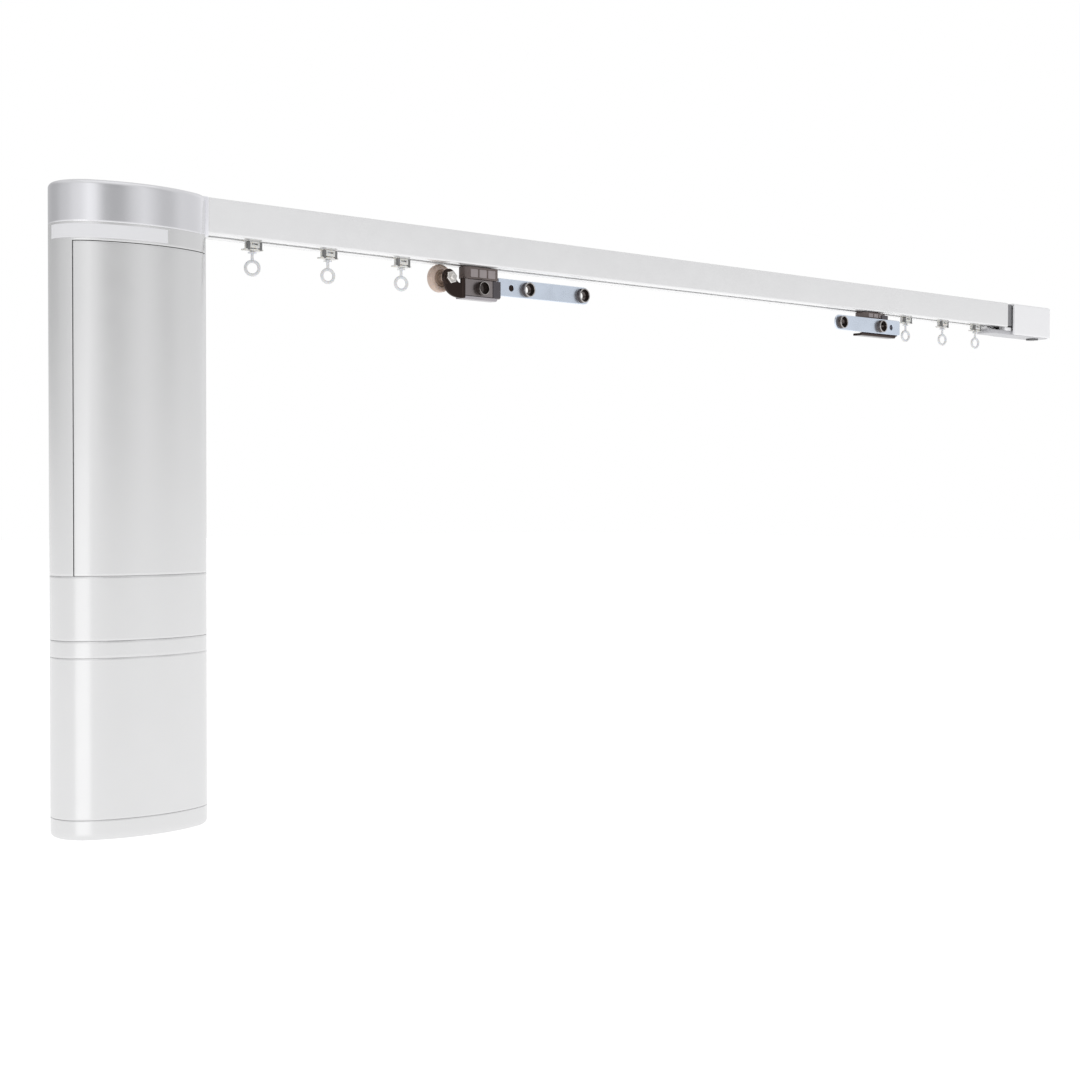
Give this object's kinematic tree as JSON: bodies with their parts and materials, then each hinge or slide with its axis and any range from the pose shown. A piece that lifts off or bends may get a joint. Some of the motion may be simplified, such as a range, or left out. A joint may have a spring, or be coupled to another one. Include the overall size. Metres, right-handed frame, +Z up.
{
  "type": "electric curtain track",
  "caption": "Electric curtain track: battery motor column, slotted rail with belt-driven master carriers on overlap arms, sliding gliders with ring eyelets, and a return cap.",
  "frame": {"origin": "centre of the drive pulley axis on the flat top of the pulley housing, in the ceiling plane", "axes": "+X along the rail from the motor to the return end, +Z up, the room side is -Y"},
  "size_m": [0.8232, 0.0447, 0.296],
  "materials": {
    "silver_housing": "satin silver lacquer",
    "collar_metal": "bright satin",
    "rail_white": "white powder coat, semi-matt",
    "column_white": "satin moulded",
    "cap_white": "smooth moulded",
    "neck_grey": "dark grey",
    "dark_nickel": "black nickel plate",
    "block_brown": "brown-grey moulded",
    "zinc_blue": "blue zinc plate",
    "bright_nickel": "bright nickel",
    "wheel_beige": "beige nylon",
    "glider_white": "white acetal",
    "eyelet_white": "white acetal",
    "runner_black": "black nylon",
    "belt_black": "black rubber",
    "bearing_brass": "sintered",
    "steel": "plain",
    "board_green": "lacquered board",
    "cell_wrap": "shrink wrapped"
  },
  "bodies": {
    "track": {"track_rail": "rail_white", "track_collar": "collar_metal", "drive_belt": "belt_black", "pulley_housing": "silver_housing", "housing_floor": "runner_black", "shaft_bearings": "bearing_brass", "floor_screws": "steel", "motor_shell": "column_white", "front_panel": "column_white", "motor_chassis": "runner_black", "gearbox": "steel", "motor_can": "steel", "control_board": "board_green", "collar_band": "column_white", "socket_block": "runner_black", "latch_band": "column_white", "return_cap": "cap_white", "return_base": "cap_white", "return_neck": "neck_grey", "return_axle": "bright_nickel"},
    "drive": {"drive_pulley": "runner_black", "drive_shaft": "steel"},
    "return_wheel": {"return_pulley": "runner_black"},
    "battery": {"battery_case": "column_white", "battery_base": "column_white", "battery_cells": "cell_wrap", "battery_board": "board_green", "battery_contacts": "bearing_brass", "charge_pin": "bearing_brass"},
    "latch": {"battery_latch": "column_white"},
    "button": {"program_button": "column_white"},
    "left_carrier": {"left_runner": "runner_black", "left_clamp_block": "block_brown", "left_bracket": "dark_nickel", "left_plate_screw": "dark_nickel", "left_overlap_arm": "zinc_blue", "left_rivets": "dark_nickel", "left_wheel_axle": "bright_nickel"},
    "left_support": {"left_support_wheel": "wheel_beige"},
    "right_carrier": {"right_runner": "runner_black", "right_clamp_block": "block_brown", "right_bracket": "dark_nickel", "right_overlap_arm": "zinc_blue", "right_rivets": "dark_nickel"},
    "left_inner_wheelset": {"left_inner_wheels": "runner_black"},
    "left_outer_wheelset": {"left_outer_wheels": "runner_black"},
    "right_inner_wheelset": {"right_inner_wheels": "runner_black"},
    "right_outer_wheelset": {"right_outer_wheels": "runner_black"},
    "glider_1_body": {"glider_1": "glider_white"},
    "eyelet_1_body": {"eyelet_1": "eyelet_white"},
    "glider_2_body": {"glider_2": "glider_white"},
    "eyelet_2_body": {"eyelet_2": "eyelet_white"},
    "glider_3_body": {"glider_3": "glider_white"},
    "eyelet_3_body": {"eyelet_3": "eyelet_white"},
    "glider_4_body": {"glider_4": "glider_white"},
    "eyelet_4_body": {"eyelet_4": "eyelet_white"},
    "glider_5_body": {"glider_5": "glider_white"},
    "eyelet_5_body": {"eyelet_5": "eyelet_white"},
    "glider_6_body": {"glider_6": "glider_white"},
    "eyelet_6_body": {"eyelet_6": "eyelet_white"}
  },
  "joints": [
    {"name": "left_carrier_slide", "type": "slide", "parent": "track", "child": "left_carrier", "axis": [1, 0, 0], "range_m": [-0.056, 0.13]},
    {"name": "right_carrier_slide", "type": "slide", "parent": "track", "child": "right_carrier", "axis": [1, 0, 0], "range_m": [-0.13, 0.056]},
    {"name": "drive_spin", "type": "hinge", "parent": "track", "child": "drive", "pos_m": [0, 0, -0.0069], "axis": [0, 0, 1], "range_deg": [-481, 1115.3]},
    {"name": "return_spin", "type": "hinge", "parent": "track", "child": "return_wheel", "pos_m": [0.771, 0, -0.0069], "axis": [0, 0, 1], "range_deg": [-481, 1115.3]},
    {"name": "left_support_spin", "type": "hinge", "parent": "left_carrier", "child": "left_support", "pos_m": [0.193, 0.004, -0.0247], "axis": [0, 1, 0], "range_deg": [-1007.5, 434.6]},
    {"name": "left_inner_wheel_spin", "type": "hinge", "parent": "left_carrier", "child": "left_inner_wheelset", "pos_m": [0.2027, 0, -0.0129], "axis": [0, 1, 0], "range_deg": [-1070.5, 2483.8]},
    {"name": "left_outer_wheel_spin", "type": "hinge", "parent": "left_carrier", "child": "left_outer_wheelset", "pos_m": [0.2287, 0, -0.0129], "axis": [0, 1, 0], "range_deg": [-1070.5, 2483.8]},
    {"name": "right_inner_wheel_spin", "type": "hinge", "parent": "right_carrier", "child": "right_inner_wheelset", "pos_m": [0.5545, 0, -0.0129], "axis": [0, 1, 0], "range_deg": [-2483.8, 1070.5]},
    {"name": "right_outer_wheel_spin", "type": "hinge", "parent": "right_carrier", "child": "right_outer_wheelset", "pos_m": [0.5805, 0, -0.0129], "axis": [0, 1, 0], "range_deg": [-2483.8, 1070.5]},
    {"name": "glider_1_slide", "type": "slide", "parent": "track", "child": "glider_1_body", "axis": [1, 0, 0], "range_m": [-0.01405, 0.03255]},
    {"name": "glider_2_slide", "type": "slide", "parent": "track", "child": "glider_2_body", "axis": [1, 0, 0], "range_m": [-0.02805, 0.06505]},
    {"name": "glider_3_slide", "type": "slide", "parent": "track", "child": "glider_3_body", "axis": [1, 0, 0], "range_m": [-0.04205, 0.09755]},
    {"name": "glider_4_slide", "type": "slide", "parent": "track", "child": "glider_4_body", "axis": [1, 0, 0], "range_m": [-0.13005, 0.05605]},
    {"name": "glider_5_slide", "type": "slide", "parent": "track", "child": "glider_5_body", "axis": [1, 0, 0], "range_m": [-0.06505, 0.02805]},
    {"name": "glider_6_slide", "type": "slide", "parent": "track", "child": "glider_6_body", "axis": [1, 0, 0], "range_m": [-0.00655, 0.00285]},
    {"name": "eyelet_1_swivel", "type": "hinge", "parent": "glider_1_body", "child": "eyelet_1_body", "pos_m": [0.0692, 0, -0.0301], "axis": [0, 0, 1], "continuous": true},
    {"name": "eyelet_2_swivel", "type": "hinge", "parent": "glider_2_body", "child": "eyelet_2_body", "pos_m": [0.1153, 0, -0.0301], "axis": [0, 0, 1], "continuous": true},
    {"name": "eyelet_3_swivel", "type": "hinge", "parent": "glider_3_body", "child": "eyelet_3_body", "pos_m": [0.1632, 0, -0.0301], "axis": [0, 0, 1], "continuous": true},
    {"name": "eyelet_4_swivel", "type": "hinge", "parent": "glider_4_body", "child": "eyelet_4_body", "pos_m": [0.6109, 0, -0.0301], "axis": [0, 0, 1], "continuous": true},
    {"name": "eyelet_5_swivel", "type": "hinge", "parent": "glider_5_body", "child": "eyelet_5_body", "pos_m": [0.6547, 0, -0.0301], "axis": [0, 0, 1], "continuous": true},
    {"name": "eyelet_6_swivel", "type": "hinge", "parent": "glider_6_body", "child": "eyelet_6_body", "pos_m": [0.6956, 0, -0.0301], "axis": [0, 0, 1], "continuous": true},
    {"name": "battery_release", "type": "slide", "parent": "track", "child": "battery", "axis": [0, 0, -1], "range_m": [0, 0.025]},
    {"name": "latch_press", "type": "slide", "parent": "track", "child": "latch", "axis": [0, -1, 0], "range_m": [0, 0.0012], "stiffness_N_per_m": 400},
    {"name": "button_press", "type": "slide", "parent": "track", "child": "button", "axis": [0, -1, 0], "range_m": [0, 0.0008], "stiffness_N_per_m": 600}
  ],
  "couplings": [
    {"joint": "right_carrier_slide", "follows": "left_carrier_slide", "ratio": -1},
    {"joint": "drive_spin", "follows": "left_carrier_slide", "rad_per_m": 149.6},
    {"joint": "return_spin", "follows": "left_carrier_slide", "rad_per_m": 149.6},
    {"joint": "left_support_spin", "follows": "left_carrier_slide", "rad_per_m": -135.14},
    {"joint": "left_inner_wheel_spin", "follows": "left_carrier_slide", "rad_per_m": 333.33},
    {"joint": "left_outer_wheel_spin", "follows": "left_carrier_slide", "rad_per_m": 333.33},
    {"joint": "right_inner_wheel_spin", "follows": "left_carrier_slide", "rad_per_m": -333.33},
    {"joint": "right_outer_wheel_spin", "follows": "left_carrier_slide", "rad_per_m": -333.33},
    {"joint": "glider_1_slide", "follows": "left_carrier_slide", "ratio": 0.25},
    {"joint": "glider_2_slide", "follows": "left_carrier_slide", "ratio": 0.5},
    {"joint": "glider_3_slide", "follows": "left_carrier_slide", "ratio": 0.75},
    {"joint": "glider_4_slide", "follows": "left_carrier_slide", "ratio": -1},
    {"joint": "glider_5_slide", "follows": "left_carrier_slide", "ratio": -0.5},
    {"joint": "glider_6_slide", "follows": "left_carrier_slide", "ratio": -0.05}
  ]
}
